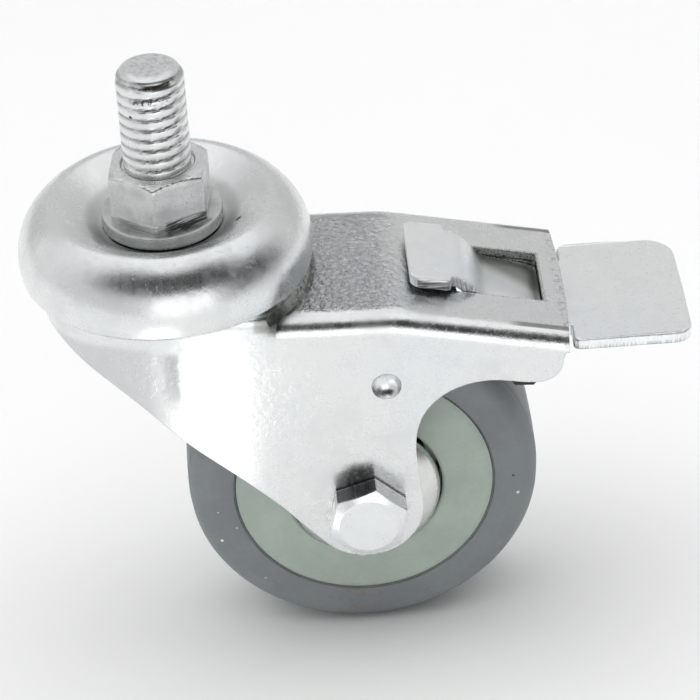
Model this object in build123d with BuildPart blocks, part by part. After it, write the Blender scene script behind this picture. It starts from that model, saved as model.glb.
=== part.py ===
from build123d import *
import math
import os

# Swivel castor with a threaded stem, a twin ball race head and a foot brake.
# Units are millimetres.  +Z runs up the stem, +X points to the trailing side
# where the wheel and the foot plate are, and the origin lies on the stem axis
# in the mounting shoulder (the top face of the hexagon).

# ---------------------------------------------------------------- dimensions
# stem
stem_d = 9.4            # 3/8-16 UNC rolled thread, crest diameter
stem_len = 15.0
stem_tip_d = 7.1
hex_af = 13.0
hex_h = 7.4
collar_r = 8.33
collar_h = 1.9
shank_r = 5.0

# swivel head
cup_t = 1.5             # upper race, pressed sheet
cup_ring_r = 11.73      # centre line of the rounded outer wall
cup_ring_z = -13.59
cup_wall_r = 8.665
cup_floor_z = -9.3      # top of the dished floor
cup_rim_r = 19.5
cup_rim_z = -16.35
ball_u_r = 2.25
ball_u_pitch = 15.13
ball_u_z = -10.19
ball_u_n = 20
ball_l_r = 2.0
ball_l_pitch = 8.6
ball_l_z = -15.78
ball_l_n = 13
race_clear = 0.06

# fork, one pressed sheet
sheet = 2.0
fork_half_w = 14.85
fork_rear_x = 54.1
plate_knee = (30.4, -19.1)
plate_rear = (54.1, -24.45)
plate_bend_r = 2.7      # outside radius along the long folds
nose_front = 17.4       # foremost point of the skirt
nose_side_x = 13.0      # the legs run straight behind this point
nose_side_r = 62.0      # long arc from the legs towards the nose
drum_top = -16.72       # raised round drum under the cup
drum_r = 18.6
drum_foot = (20.0, -18.75)
drum_bend_r = 2.1
crown_z = -11.75        # top of the drawn crown
crown_r = 14.3
crown_hole_r = 6.2
window_x = (42.6, 51.7)
window_half_w = 6.0

# wheel and axle
wheel_x = 25.08
wheel_z = -50.89
wheel_r = 25.0
tyre_half_w = 9.1
tyre_corner_r = 3.3
hub_r = 18.54
hub_face_y = 9.7
hub_recess_r = 11.1
bearing_or = 11.0
bearing_ir = 4.0
bearing_half_w = 3.5
bearing_ball_r = 1.98
bearing_pitch = 7.5
bearing_ball_n = 7
cap_r = 10.75
cap_t = 0.8
sleeve_or = 4.0
sleeve_ir = 3.1
axle_r = 3.0
head_af = 10.0
head_h = 4.0
leg_tip_r = 8.15

# brake
pivot_x = 28.8
pivot_z = -30.1
pivot_r = 2.0
lever_t = 1.6
roll_r = 0.4            # rolled upper edge of the foot plate
ear_out_y = 12.55
ear_low_z = -30.2
pedal_half_w = 12.0
pedal_end_x = 71.75
pedal_top_z = -26.85
tab_half_w = 7.25
neck_half_w = 5.85
shoe_gap = 1.65

os.makedirs("parts", exist_ok=True)

stem_axis = Axis.Z
wheel_axis = Axis((wheel_x, 0, wheel_z), (0, 1, 0))
# section plane of everything that turns on the axle: local x is +Y, local y is the radius
wheel_plane = Plane(origin=(wheel_x, 0, wheel_z), x_dir=(0, 1, 0), z_dir=(1, 0, 0))
side_plane = Plane.XZ   # local x is +X, local y is +Z


def torus_pt(angle, extra=0.0):
    a = math.radians(angle)
    r = cup_wall_r + extra
    return (cup_ring_r + r * math.cos(a), cup_ring_z + r * math.sin(a))


# ------------------------------------------------------------ threaded stem
collar_top = -hex_h
collar_bot = -hex_h - collar_h
peen_top = -19.75
with BuildPart() as threaded_stem:
    # hexagon with one corner nearly square to the front
    with BuildSketch(Plane.XY.offset(-hex_h - 0.02)):
        RegularPolygon(radius=hex_af / 2, side_count=6, major_radius=False, rotation=-97.0)
    extrude(amount=hex_h + 0.02)
    # 30 degree corner chamfer on top of the hexagon
    with BuildSketch(side_plane):
        with BuildLine():
            Polyline((0, -9), (9, -9), (9, -1.35), (6.55, 0.0), (0, 0.0), close=True)
        make_face()
    revolve(axis=stem_axis, mode=Mode.INTERSECT)
    # stem, collar, kingpin shank and its riveted foot
    with BuildSketch(side_plane):
        with BuildLine():
            Polyline(
                (0, stem_len), (stem_tip_d / 2, stem_len), (stem_d / 2, stem_len - 1.15),
                (stem_d / 2, -0.5), (4.4, -1.0), (4.4, collar_top),
                (collar_r - 0.25, collar_top), (collar_r, collar_top - 0.25),
                (collar_r, collar_bot), (shank_r, collar_bot),
                (shank_r, peen_top), (6.9, peen_top), (6.9, peen_top - 0.7),
                (6.1, peen_top - 1.7), (0, peen_top - 1.9), close=True)
        make_face()
    revolve(axis=stem_axis)
threaded_stem.part.label = "threaded_stem"
export_step(threaded_stem.part, "parts/threaded_stem.step")

# ---------------------------------------------------------------- upper cup
t = cup_t
with BuildPart() as upper_cup:
    with BuildSketch(side_plane):
        with BuildLine():
            # outside: floor, dish, crest, rounded wall down to the rim
            l1 = Line((shank_r + 0.05, cup_floor_z), (8.35, cup_floor_z))
            s1 = Spline((8.35, cup_floor_z), (9.3, -9.02), (10.5, -8.2), (12.4, -6.95),
                        (14.2, -6.15), torus_pt(60), tangents=[(1, 0.02), (0.9, -0.45)])
            a1 = ThreePointArc(torus_pt(60), torus_pt(20), torus_pt(-14))
            l2 = Line(torus_pt(-14), (cup_rim_r, cup_rim_z))
            # rim edge and inside surface
            l3 = Line((cup_rim_r, cup_rim_z), (cup_rim_r - t, cup_rim_z + 0.12))
            l4 = Line((cup_rim_r - t, cup_rim_z + 0.12), torus_pt(-14, -t))
            a2 = ThreePointArc(torus_pt(-14, -t), torus_pt(20, -t), torus_pt(60, -t))
            s2 = Spline(torus_pt(60, -t), (14.0, -7.72), (12.9, -8.3), (11.2, -9.45),
                        (9.9, -10.4), (8.6, cup_floor_z - t), tangents=[(-0.9, 0.45), (-1, -0.02)])
            l5 = Line((8.6, cup_floor_z - t), (shank_r + 0.05, cup_floor_z - t))
            l6 = Line((shank_r + 0.05, cup_floor_z - t), (shank_r + 0.05, cup_floor_z))
        make_face()
    revolve(axis=stem_axis)
upper_cup.part.label = "upper_cup"
export_step(upper_cup.part, "parts/upper_cup.step")

# ---------------------------------------------------------------- ball sets
with BuildPart() as upper_balls:
    with PolarLocations(ball_u_pitch, ball_u_n, start_angle=9):
        with Locations((0, 0, ball_u_z)):
            Sphere(ball_u_r)
upper_balls.part.label = "upper_balls"
export_step(upper_balls.part, "parts/upper_balls.step")

with BuildPart() as lower_balls:
    with PolarLocations(ball_l_pitch, ball_l_n):
        with Locations((0, 0, ball_l_z)):
            Sphere(ball_l_r)
lower_balls.part.label = "lower_balls"
export_step(lower_balls.part, "parts/lower_balls.step")

# --------------------------------------------------------------- lower race
with BuildPart() as lower_race:
    with BuildSketch(side_plane):
        with BuildLine():
            Polyline((shank_r + 0.02, -17.35), (shank_r + 0.02, peen_top), (10.2, peen_top),
                     (11.6, -18.5), (11.6, -16.4), (10.6, -16.4), (10.0, -17.1), (9.4, -17.35), close=True)
        make_face()
    revolve(axis=stem_axis)
    # ball track
    with BuildSketch(side_plane):
        with Locations((ball_l_pitch, ball_l_z)):
            Circle(ball_l_r + race_clear)
    revolve(axis=stem_axis, mode=Mode.SUBTRACT)
lower_race.part.label = "lower_race"
export_step(lower_race.part, "parts/lower_race.step")

# --------------------------------------------------------------------- fork
knee_r = 22.0

# plan of the fork: a front arc running tangentially into two long side arcs,
# which run tangentially into the straight legs
reach = nose_side_x + nose_front
nose_front_r = ((reach ** 2 + (nose_side_r - fork_half_w) ** 2 - nose_side_r ** 2)
                / (2 * (reach - nose_side_r)))
front_cx = nose_front_r - nose_front
side_cy = nose_side_r - fork_half_w
tangent_a = math.atan2(side_cy, nose_side_x - front_cx)


def on_side_arc(angle, inset, sign):
    """Point on a side arc; angle is measured at the arc centre from the -X direction."""
    r = nose_side_r - inset
    return (nose_side_x - r * math.cos(angle), sign * (r * math.sin(angle) - side_cy))


def plan_prism(inset, z_top, x_end):
    """Vertical prism over the plan of the fork, everything inset by the same amount."""
    w = fork_half_w - inset
    mid = (tangent_a + math.pi / 2) / 2
    with BuildPart(mode=Mode.PRIVATE) as pr:
        with BuildSketch(Plane.XY.offset(z_top)):
            with BuildLine():
                Polyline((nose_side_x, -w), (x_end, -w), (x_end, w), (nose_side_x, w))
                for sign in (-1, 1):
                    ThreePointArc((nose_side_x, sign * w), on_side_arc(mid, inset, sign),
                                  on_side_arc(tangent_a, inset, sign))
                ThreePointArc(on_side_arc(tangent_a, inset, -1), (-nose_front + inset, 0),
                              on_side_arc(tangent_a, inset, 1))
            make_face()
        extrude(amount=-(62 + z_top))
    return pr.part


def channel_solid(drop, inset, bend):
    """Folded channel: the plan prism under the plate profile, its long folds rounded."""
    d = drop * 1.027
    more = 4.0 if drop else 1.5
    rear = fork_rear_x + more
    z_rear = plate_rear[1] - d - more * 0.2257
    with BuildPart(mode=Mode.PRIVATE) as ch:
        add(plan_prism(inset, -5.0, 60.0))
        with BuildSketch(side_plane):
            with BuildLine():
                FilletPolyline((-25.0, -16.9 - drop), (plate_knee[0] - 0.12 * drop, plate_knee[1] - drop),
                               (rear, z_rear), radius=knee_r - drop)
                Polyline((rear, z_rear), (rear, -70), (-25.0, -70), (-25.0, -16.9 - drop))
            make_face()
        extrude(amount=40, both=True, mode=Mode.INTERSECT)
        tops = [f for f in ch.faces() if f.normal_at().Z > 0.5]
        folds = [e for f in tops for e in f.edges()
                 if abs(e.center().X - rear) > 0.05 and not (abs(e.center().Y) < 1.0 and e.center().X > 0)]
        fillet(folds, radius=bend)
    return ch.part


def head_solid(drop, inset, bend):
    """Raised round drum under the cup; it ends in a steep round wall standing on the plate."""
    with BuildPart(mode=Mode.PRIVATE) as hd:
        add(plan_prism(inset, drum_top - drop, 26.0))
        if bend > 0:
            top = [e for e in hd.faces().sort_by(Axis.Z)[-1].edges() if e.center().X < 25.9]
            fillet(top, radius=bend)
        with BuildSketch(side_plane):
            with BuildLine():
                p0 = (drum_r - inset, drum_top - drop)
                p1 = (drum_r + 0.72 - inset, drum_top - drop - 0.62)
                p2 = (drum_foot[0] - inset, drum_foot[1] - drop)
                Line((p0[0], -8), p0)
                ThreePointArc(p0, (drum_r + 0.47 - inset, drum_top - drop - 0.18), p1)
                Polyline(p1, p2, (p2[0] + 0.8, p2[1] - 3.4), (45, p2[1] - 3.4), (45, -8), (p0[0], -8))
            make_face()
        revolve(axis=stem_axis, mode=Mode.SUBTRACT)
    return hd.part


with BuildPart() as fork:
    add(channel_solid(0.0, 0.0, plate_bend_r))
    add(head_solid(0.0, 0.0, drum_bend_r))
    add(channel_solid(sheet, sheet, plate_bend_r - sheet), mode=Mode.SUBTRACT)
    add(head_solid(sheet, sheet, 0.0), mode=Mode.SUBTRACT)
    # drawn crown inside the head
    with BuildSketch(side_plane):
        with Locations((0, drum_top - sheet - 0.1)):
            Rectangle(fork_half_w - sheet - 0.02, 12.0, align=(Align.MIN, Align.MIN))
        # relief for the lower race in the narrow front of the skirt
        with Locations((0, drum_top - sheet - 0.6)):
            Rectangle(12.0, 12.0, align=(Align.MIN, Align.MIN))
    revolve(axis=stem_axis, mode=Mode.SUBTRACT)
    with BuildSketch(side_plane):
        with BuildLine():
            Polyline((crown_r, drum_top - sheet), (crown_r, crown_z), (crown_hole_r, crown_z),
                     (crown_hole_r, crown_z - sheet), (11.3, crown_z - sheet), (12.1, -14.6),
                     (crown_r - sheet, drum_top - sheet), close=True)
        make_face()
    revolve(axis=stem_axis)
    with BuildSketch(side_plane):
        with Locations((ball_u_pitch, ball_u_z)):
            Circle(ball_u_r + race_clear)
        with Locations((ball_l_pitch, ball_l_z)):
            Circle(ball_l_r + race_clear)
    revolve(axis=stem_axis, mode=Mode.SUBTRACT)
    # side outline: short front skirt, leg swept back to the axle, rear apron
    with BuildSketch(side_plane):
        with BuildLine():
            Spline((-17.6, -22.2), (-15.0, -23.5), (-10.9, -26.95), (-4.8, -32.25), (0.9, -37.95),
                   (7.1, -43.3), (13.4, -49.5), (19.1, -56.3), tangents=[(1, -0.1), (0.66, -0.75)])
            ThreePointArc((19.1, -56.3), (25.0, -59.0), (33.0, -51.5))
            Spline((33.0, -51.5), (32.72, -46.0), (32.45, -40.4), (32.85, -37.6), (33.95, -35.0),
                   (36.1, -32.65), (40.3, -30.72), (44.4, -30.55), (47.9, -31.2), (50.2, -31.35),
                   tangents=[(0.0, 1), (1, 0.03)])
            ThreePointArc((50.2, -31.35), (52.35, -30.4), (53.3, -28.0))
            Polyline((53.3, -28.0), (53.75, -26.9), (56.5, -26.9), (56.5, -5.0), (-22.0, -5.0),
                     (-22.0, -22.2), (-17.6, -22.2))
        make_face()
    extrude(amount=40, both=True, mode=Mode.INTERSECT)
    # rear edge of the plate, slightly bowed in plan
    with BuildSketch(Plane.XY.offset(-10)):
        with BuildLine():
            ThreePointArc((fork_rear_x, -fork_half_w - 1), (fork_rear_x + 0.75, 0), (fork_rear_x, fork_half_w + 1))
            Polyline((fork_rear_x, fork_half_w + 1), (-25, fork_half_w + 1), (-25, -fork_half_w - 1),
                     (fork_rear_x, -fork_half_w - 1))
        make_face()
    extrude(amount=-60, mode=Mode.INTERSECT)
    # window in the plate for the brake lever
    with BuildSketch(Plane.XY.offset(-10)):
        with Locations(((window_x[0] + window_x[1]) / 2, 0)):
            RectangleRounded(window_x[1] - window_x[0], 2 * window_half_w, 0.7)
        with Locations((window_x[0] - 0.75, 0)):
            Rectangle(4.5, 2 * window_half_w)
    extrude(amount=-18, mode=Mode.SUBTRACT)
    # axle holes
    with Locations(Plane(origin=(wheel_x, 0, wheel_z), x_dir=(1, 0, 0), z_dir=(0, 1, 0))):
        Cylinder(axle_r + 0.1, 40, mode=Mode.SUBTRACT)
    # brake pivots: nubs pressed inward, each leaves a round dimple outside
    for s in (-1, 1):
        with Locations(Plane(origin=(pivot_x, s * (fork_half_w - sheet + 0.3), pivot_z),
                             x_dir=(1, 0, 0), z_dir=(0, -s, 0))):
            Cylinder(pivot_r, 2.1, align=(Align.CENTER, Align.CENTER, Align.MIN))
        with Locations((pivot_x, s * (fork_half_w + 0.95), pivot_z)):
            Sphere(2.3, mode=Mode.SUBTRACT)
fork.part.label = "fork"
export_step(fork.part, "parts/fork.step")

# --------------------------------------------------------------------- tyre
with BuildPart() as tyre:
    w = tyre_half_w
    c = tyre_corner_r
    k = c * (1 - math.sqrt(0.5))
    with BuildSketch(wheel_plane):
        with BuildLine():
            Polyline((-6.2, 17.6), (-6.2, 16.4), (6.2, 16.4), (6.2, 17.6))
            Line((6.2, 17.6), (w - 0.15, hub_r - 0.1))
            Line((w - 0.15, hub_r - 0.1), (w, hub_r + 0.2))
            Line((w, hub_r + 0.2), (w, wheel_r - c - 0.1))
            ThreePointArc((w, wheel_r - c - 0.1), (w - k, wheel_r - 0.1 - k), (w - c, wheel_r - 0.1))
            ThreePointArc((w - c, wheel_r - 0.1), (0, wheel_r), (-w + c, wheel_r - 0.1))
            ThreePointArc((-w + c, wheel_r - 0.1), (-w + k, wheel_r - 0.1 - k), (-w, wheel_r - c - 0.1))
            Line((-w, wheel_r - c - 0.1), (-w, hub_r + 0.2))
            Line((-w, hub_r + 0.2), (-w + 0.15, hub_r - 0.1))
            Line((-w + 0.15, hub_r - 0.1), (-6.2, 17.6))
        make_face()
    revolve(axis=wheel_axis)
tyre.part.label = "tyre"
export_step(tyre.part, "parts/tyre.step")

# ----------------------------------------------------------------- hub core
with BuildPart() as hub_core:
    f = hub_face_y
    with BuildSketch(wheel_plane):
        with BuildLine():
            Polyline(
                (-3.5, 11.0), (3.5, 11.0), (3.5, 9.7), (7.2, 9.7), (7.2, hub_recess_r),
                (f - 0.2, hub_recess_r), (f, hub_recess_r + 0.3), (f, 12.4), (9.15, 17.7),
                (8.9, hub_r - 0.25), (6.22, 17.58), (6.22, 16.38), (-6.22, 16.38), (-6.22, 17.58),
                (-8.9, hub_r - 0.25), (-9.15, 17.7), (-f, 12.4), (-f, hub_recess_r + 0.3),
                (-f + 0.2, hub_recess_r), (-7.2, hub_recess_r), (-7.2, 11.0), close=True)
        make_face()
    revolve(axis=wheel_axis)
hub_core.part.label = "hub_core"
export_step(hub_core.part, "parts/hub_core.step")

# ----------------------------------------------------------- wheel bearing
bw = bearing_half_w
with BuildPart() as bearing_outer_ring:
    with BuildSketch(wheel_plane):
        with BuildLine():
            Polyline((-bw, 9.2), (-bw, bearing_or - 0.3), (-bw + 0.3, bearing_or), (bw - 0.3, bearing_or),
                     (bw, bearing_or - 0.3), (bw, 9.2), close=True)
        make_face()
        with Locations((0, bearing_pitch)):
            Circle(bearing_ball_r + 0.05, mode=Mode.SUBTRACT)
    revolve(axis=wheel_axis)
bearing_outer_ring.part.label = "bearing_outer_ring"
export_step(bearing_outer_ring.part, "parts/bearing_outer_ring.step")

with BuildPart() as bearing_inner_ring:
    with BuildSketch(wheel_plane):
        with BuildLine():
            Polyline((-bw, bearing_ir), (-bw, 5.75), (bw, 5.75), (bw, bearing_ir), close=True)
        make_face()
        with Locations((0, bearing_pitch)):
            Circle(bearing_ball_r + 0.05, mode=Mode.SUBTRACT)
    revolve(axis=wheel_axis)
bearing_inner_ring.part.label = "bearing_inner_ring"
export_step(bearing_inner_ring.part, "parts/bearing_inner_ring.step")

ring_plane = Plane(origin=(wheel_x, 0, wheel_z), x_dir=(1, 0, 0), z_dir=(0, 1, 0))
with BuildPart() as bearing_balls:
    with Locations(ring_plane):
        with PolarLocations(bearing_pitch, bearing_ball_n):
            Sphere(bearing_ball_r)
bearing_balls.part.label = "bearing_balls"
export_step(bearing_balls.part, "parts/bearing_balls.step")

with BuildPart() as bearing_cage:
    with BuildSketch(ring_plane.offset(-1.3)):
        Circle(bearing_pitch + 0.75)
        Circle(bearing_pitch - 0.75, mode=Mode.SUBTRACT)
    extrude(amount=4.2)
    with Locations(ring_plane):
        with PolarLocations(bearing_pitch, bearing_ball_n):
            Sphere(bearing_ball_r + 0.06, mode=Mode.SUBTRACT)
bearing_cage.part.label = "bearing_cage"
export_step(bearing_cage.part, "parts/bearing_cage.step")

# ------------------------------------------------------- dust caps (domed)
leg_in = fork_half_w - sheet
for side, nm in ((-1, "near_dust_cap"), (1, "far_dust_cap")):
    with BuildPart() as cap:
        with BuildSketch(wheel_plane):
            with BuildLine():
                q1 = Line((side * leg_in, axle_r + 0.1), (side * leg_in, 6.4))
                q2 = Spline((side * leg_in, 6.4), (side * 12.4, 8.6), (side * 11.4, 10.15),
                            (side * 10.0, cap_r), tangents=[(0, 1), (-side * 1.0, 0.12)])
                q3 = Line((side * 10.0, cap_r), (side * 9.95, cap_r - cap_t))
                q4 = Spline((side * 9.95, cap_r - cap_t), (side * 10.85, 9.5), (side * 11.6, 8.2),
                            (side * (leg_in - cap_t), 6.3), tangents=[(side * 1.0, -0.12), (0, -1)])
                q5 = Polyline((side * (leg_in - cap_t), 6.3), (side * (leg_in - cap_t), axle_r + 0.1),
                              (side * leg_in, axle_r + 0.1))
            make_face()
        revolve(axis=wheel_axis)
    cap.part.label = nm
    export_step(cap.part, "parts/" + nm + ".step")

# -------------------------------------------------------------- axle sleeve
sl = leg_in - cap_t
with BuildPart() as axle_sleeve:
    with BuildSketch(wheel_plane):
        with Locations((0, (sleeve_or + sleeve_ir) / 2)):
            Rectangle(2 * sl, sleeve_or - sleeve_ir)
    revolve(axis=wheel_axis)
axle_sleeve.part.label = "axle_sleeve"
export_step(axle_sleeve.part, "parts/axle_sleeve.step")

# ------------------------------------------------- axle bolt, washer and nut
near_plane = Plane(origin=(wheel_x, -fork_half_w, wheel_z), x_dir=(1, 0, 0), z_dir=(0, -1, 0))
washer_t = 1.2
nut_h = 6.0
bolt_end_y = fork_half_w + washer_t + nut_h + 1.2
with BuildPart() as axle_bolt:
    with BuildSketch(near_plane):
        RegularPolygon(radius=head_af / 2, side_count=6, major_radius=False, rotation=17.0)
    extrude(amount=head_h)
    # turned chamfer on the outer face of the head
    with BuildSketch(wheel_plane):
        with BuildLine():
            Polyline((-fork_half_w, 0), (-fork_half_w, 7), (-fork_half_w - head_h + 0.95, 6.35),
                     (-fork_half_w - head_h, 4.2), (-fork_half_w - head_h, 0), close=True)
        make_face()
    revolve(axis=wheel_axis, mode=Mode.INTERSECT)
    with BuildSketch(wheel_plane):
        with BuildLine():
            Polyline((-fork_half_w - 1.0, 0), (-fork_half_w - 1.0, axle_r), (bolt_end_y - 0.7, axle_r),
                     (bolt_end_y, axle_r - 0.7), (bolt_end_y, 0), close=True)
        make_face()
    revolve(axis=wheel_axis)
axle_bolt.part.label = "axle_bolt"
export_step(axle_bolt.part, "parts/axle_bolt.step")

with BuildPart() as axle_washer:
    with BuildSketch(wheel_plane):
        with BuildLine():
            Polyline((fork_half_w, 3.2), (fork_half_w + washer_t, 3.2), (fork_half_w + washer_t, 5.8),
                     (fork_half_w + washer_t - 0.2, 6.0), (fork_half_w, 6.0), close=True)
        make_face()
    revolve(axis=wheel_axis)
axle_washer.part.label = "axle_washer"
export_step(axle_washer.part, "parts/axle_washer.step")

far_plane = Plane(origin=(wheel_x, fork_half_w + washer_t, wheel_z), x_dir=(1, 0, 0), z_dir=(0, 1, 0))
y0 = fork_half_w + washer_t
with BuildPart() as axle_nut:
    with BuildSketch(far_plane):
        RegularPolygon(radius=head_af / 2, side_count=6, major_radius=False, rotation=8.0)
    extrude(amount=nut_h)
    with BuildSketch(wheel_plane):
        with BuildLine():
            Polyline((y0, 0), (y0, 5.3), (y0 + 0.35, 6.0), (y0 + 4.1, 6.0), (y0 + 4.6, 4.75),
                     (y0 + nut_h - 0.5, 4.7), (y0 + nut_h, 4.3), (y0 + nut_h, 0), close=True)
        make_face()
    revolve(axis=wheel_axis, mode=Mode.INTERSECT)
    with BuildSketch(wheel_plane):
        with BuildLine():
            Polyline((y0, 0), (y0, axle_r + 0.02), (y0 + 4.4, axle_r + 0.02), (y0 + 4.4, 4.1),
                     (y0 + nut_h - 0.4, 4.1), (y0 + nut_h - 0.4, 3.6), (y0 + nut_h, 3.6), (y0 + nut_h, 0),
                     close=True)
        make_face()
    revolve(axis=wheel_axis, mode=Mode.SUBTRACT)
axle_nut.part.label = "axle_nut"
export_step(axle_nut.part, "parts/axle_nut.step")

with BuildPart() as nut_insert:
    with BuildSketch(wheel_plane):
        with BuildLine():
            Polyline((y0 + 4.4, axle_r + 0.01), (y0 + 4.4, 4.1), (y0 + nut_h - 0.4, 4.1),
                     (y0 + nut_h - 0.4, axle_r + 0.01), close=True)
        make_face()
    revolve(axis=wheel_axis)
nut_insert.part.label = "nut_insert"
export_step(nut_insert.part, "parts/nut_insert.step")

# -------------------------------------------------------------- brake lever
lt = lever_t
zp = pedal_top_z
ear_in_y = ear_out_y - lt
lug = (47.5, -28.75)
def foot_plate():
    """Foot plate with rounded corners and a die-rolled upper edge."""
    with BuildPart(mode=Mode.PRIVATE) as fp:
        with BuildSketch(Plane.XY.offset(zp - lt)):
            with BuildLine():
                FilletPolyline((55.1, 0), (55.1, -pedal_half_w), (pedal_end_x - 0.05, -pedal_half_w - 0.25),
                               (pedal_end_x + 0.05, -2.0), (pedal_end_x - 0.1, pedal_half_w - 0.3),
                               (61.0, pedal_half_w + 0.45), (55.1, pedal_half_w + 0.5), (55.1, 0.5),
                               radius=[1.1, 2.6, 8.0, 4.3, 12.0, 1.8])
                Line((55.1, 0.5), (55.1, 0))
            make_face()
        extrude(amount=lt)
        fillet(fp.faces().sort_by(Axis.Z)[-1].edges(), radius=roll_r)
    return fp.part


with BuildPart() as brake_lever:
    # stop tab over the plate, neck down through the window, strip to the rear
    with BuildSketch(side_plane):
        with BuildLine():
            Line((33.2, -17.44), (38.7, -18.6))
            Spline((38.7, -18.6), (40.4, -19.22), (42.0, -20.83), (43.9, -23.05), (46.6, -24.15),
                   (49.4, -25.05), (51.6, -26.3), (53.4, zp), tangents=[(1, -0.2), (1, 0)])
            Line((53.4, zp), (56.5, zp))
            Line((56.5, zp), (56.5, zp - lt))
            Line((56.5, zp - lt), (53.0, zp - lt))
            Spline((53.0, zp - lt), (50.8, -27.72), (48.75, -26.52), (46.2, -25.7), (43.0, -24.37),
                   (40.8, -21.9), (39.55, -20.6), (38.4, -20.18), tangents=[(-1, 0), (-1, 0.2)])
            Line((38.4, -20.18), (33.2, -19.04))
            Line((33.2, -19.04), (33.2, -17.44))
        make_face()
    extrude(amount=tab_half_w + 4, both=True)
    # plan outline: tab, neck through the window, wide strip under the plate
    with BuildSketch(Plane.XY.offset(-10)):
        with BuildLine():
            for s in (-1, 1):
                FilletPolyline((33.2, 0), (33.2, s * tab_half_w), (38.7, s * tab_half_w),
                               (38.95, s * neck_half_w), (51.9, s * neck_half_w), (52.1, s * 8.3),
                               (56.5, s * 8.3), (56.5, 0), radius=[1.5, 0.7, 0.6, 0.1, 0.8, 0.2])
        make_face()
    extrude(amount=-20, mode=Mode.INTERSECT)
    add(foot_plate())
    # cross strip under the plate, folded down at both sides
    with BuildSketch(Plane(origin=(50.6, 0, 0), x_dir=(0, 1, 0), z_dir=(1, 0, 0))):
        with BuildLine():
            FilletPolyline((-ear_out_y, ear_low_z), (-ear_out_y, zp), (ear_out_y, zp), (ear_out_y, ear_low_z),
                           radius=1.9)
            Polyline((ear_out_y, ear_low_z), (ear_in_y, ear_low_z), (ear_in_y, zp - lt), (-ear_in_y, zp - lt),
                     (-ear_in_y, ear_low_z), (-ear_out_y, ear_low_z))
        make_face()
    extrude(amount=2.7)
    low_corner = [e for e in brake_lever.edges()
                  if abs(e.center().X - 53.3) < 1e-3 and abs(e.center().Z - ear_low_z) < 1e-3]
    fillet(low_corner, radius=1.3)
    # ears that run forward to the pivots
    for y_face in (-ear_out_y, ear_in_y):
        with BuildSketch(Plane(origin=(0, y_face, 0), x_dir=(1, 0, 0), z_dir=(0, -1, 0))):
            with BuildLine():
                FilletPolyline((50.8, -28.45), (49.6, -27.55), (46.0, -26.7), (36.0, -26.2), (29.0, -26.4),
                               (25.2, -28.6), (25.4, -32.2), (28.6, -33.8), (32.3, -32.4), (34.6, ear_low_z),
                               (50.8, ear_low_z), radius=[0.5, 1.5, 3, 3, 2.0, 1.8, 1.8, 2.0, 1.6])
                Line((50.8, ear_low_z), (50.8, -28.45))
            make_face()
            with Locations((pivot_x, pivot_z)):
                Circle(pivot_r + 0.08, mode=Mode.SUBTRACT)
            with Locations(lug):
                Circle(1.15, mode=Mode.SUBTRACT)
        extrude(amount=-lt)
brake_lever.part.label = "brake_lever"
export_step(brake_lever.part, "parts/brake_lever.step")

# --------------------------------------------------------------- brake shoe
sr = wheel_r + shoe_gap
a_lo = math.radians(34.5)
a_hi = math.radians(50.5)
a_md = (a_lo + a_hi) / 2
sh_lo, sh_md, sh_hi = [(wheel_x + sr * math.cos(q), wheel_z + sr * math.sin(q)) for q in (a_lo, a_md, a_hi)]
with BuildPart() as brake_shoe:
    with BuildSketch(side_plane):
        with BuildLine():
            ThreePointArc(sh_lo, sh_md, sh_hi)
            Polyline(sh_hi, (42.0, -29.6), (43.8, zp - lt), (50.6, zp - lt), (50.6, -34.9),
                     (49.6, -36.0), sh_lo)
        make_face()
    extrude(amount=8.9, both=True)
    # moulded bosses and the lugs that snap into the ears
    for s in (-1, 1):
        with Locations(Plane(origin=(lug[0], s * 8.5, lug[1]), x_dir=(1, 0, 0), z_dir=(0, s, 0))):
            Cylinder(1.15, ear_out_y - 0.1 - 8.5, align=(Align.CENTER, Align.CENTER, Align.MIN))
        with BuildSketch(Plane(origin=(0, s * 8.5, 0), x_dir=(1, 0, 0), z_dir=(0, -1, 0))):
            with Locations((lug[0], lug[1] - 0.65)):
                Rectangle(4.4, 1.7 + 0.2)
        extrude(amount=-s * (ear_in_y - 8.5))
brake_shoe.part.label = "brake_shoe"
export_step(brake_shoe.part, "parts/brake_shoe.step")
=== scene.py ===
import math

import bpy
import bmesh
import numpy as np
from mathutils import Matrix, Vector


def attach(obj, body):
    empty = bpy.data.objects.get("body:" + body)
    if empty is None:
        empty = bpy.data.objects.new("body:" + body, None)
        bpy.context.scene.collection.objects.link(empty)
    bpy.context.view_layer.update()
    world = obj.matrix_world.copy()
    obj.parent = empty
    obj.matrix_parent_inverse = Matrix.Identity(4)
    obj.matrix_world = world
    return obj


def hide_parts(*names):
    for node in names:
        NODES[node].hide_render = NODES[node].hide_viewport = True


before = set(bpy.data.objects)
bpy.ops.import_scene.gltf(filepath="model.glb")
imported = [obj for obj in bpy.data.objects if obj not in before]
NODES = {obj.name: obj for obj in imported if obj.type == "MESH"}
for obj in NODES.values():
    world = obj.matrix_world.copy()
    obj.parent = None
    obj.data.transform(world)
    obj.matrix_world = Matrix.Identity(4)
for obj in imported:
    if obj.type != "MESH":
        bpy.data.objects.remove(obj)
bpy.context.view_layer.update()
MM = 0.001

# ------------------------------------------------------------------ real sizes (mm)
WX, WZ = 25.08, -50.89          # axle
FLOOR_Z = -75.9


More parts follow.
